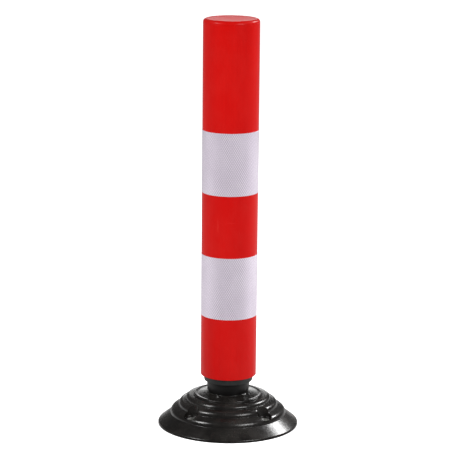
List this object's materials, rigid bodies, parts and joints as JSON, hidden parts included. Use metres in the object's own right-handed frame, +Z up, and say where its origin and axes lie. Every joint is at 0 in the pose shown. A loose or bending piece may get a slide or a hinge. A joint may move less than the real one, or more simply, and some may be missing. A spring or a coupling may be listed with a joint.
{
  "type": "delineator post",
  "caption": "Self-righting traffic delineator: a red tube with reflective bands on an elastomer neck and a bolt-down stepped rubber base.",
  "frame": {"origin": "centre of the base's underside, on the road surface", "axes": "+Z up along the post; +X and +Y lie between the four anchor holes, -Y towards the viewer"},
  "size_m": [0.257, 0.257, 0.75],
  "materials": {
    "base_rubber": "moulded, semi-gloss, slightly dusty",
    "neck_elastomer": "satin",
    "black_plastic": "matte",
    "red_plastic": "satin gloss",
    "reflective_sheeting": "retroreflective film with a fine cell lattice",
    "zinc_steel": "zinc plated"
  },
  "bodies": {
    "base": {"base_dome": "base_rubber", "anchor_bushes": "zinc_steel", "backing_plate": "zinc_steel", "base_washer": "zinc_steel", "base_bolt": "zinc_steel", "foot_disc": "base_rubber", "lower_core_plate": "zinc_steel"},
    "neck": {"flex_core": "neck_elastomer"},
    "post": {"upper_core_plate": "zinc_steel", "tube_plug": "black_plastic", "plug_washer": "zinc_steel", "plug_bolt": "zinc_steel", "post_tube": "red_plastic", "lower_band": "reflective_sheeting", "upper_band": "reflective_sheeting", "top_cap": "red_plastic"}
  },
  "joints": [
    {"name": "tilt_fore_aft", "type": "hinge", "parent": "base", "child": "neck", "pos_m": [0, 0, 0.075], "axis": [1, 0, 0], "range_deg": [-20, 20], "stiffness_Nm_per_rad": 120, "deforming": ["flex_core"]},
    {"name": "tilt_side", "type": "hinge", "parent": "neck", "child": "post", "pos_m": [0, 0, 0.075], "axis": [0, 1, 0], "range_deg": [-20, 20], "stiffness_Nm_per_rad": 120, "deforming": ["flex_core"]}
  ]
}
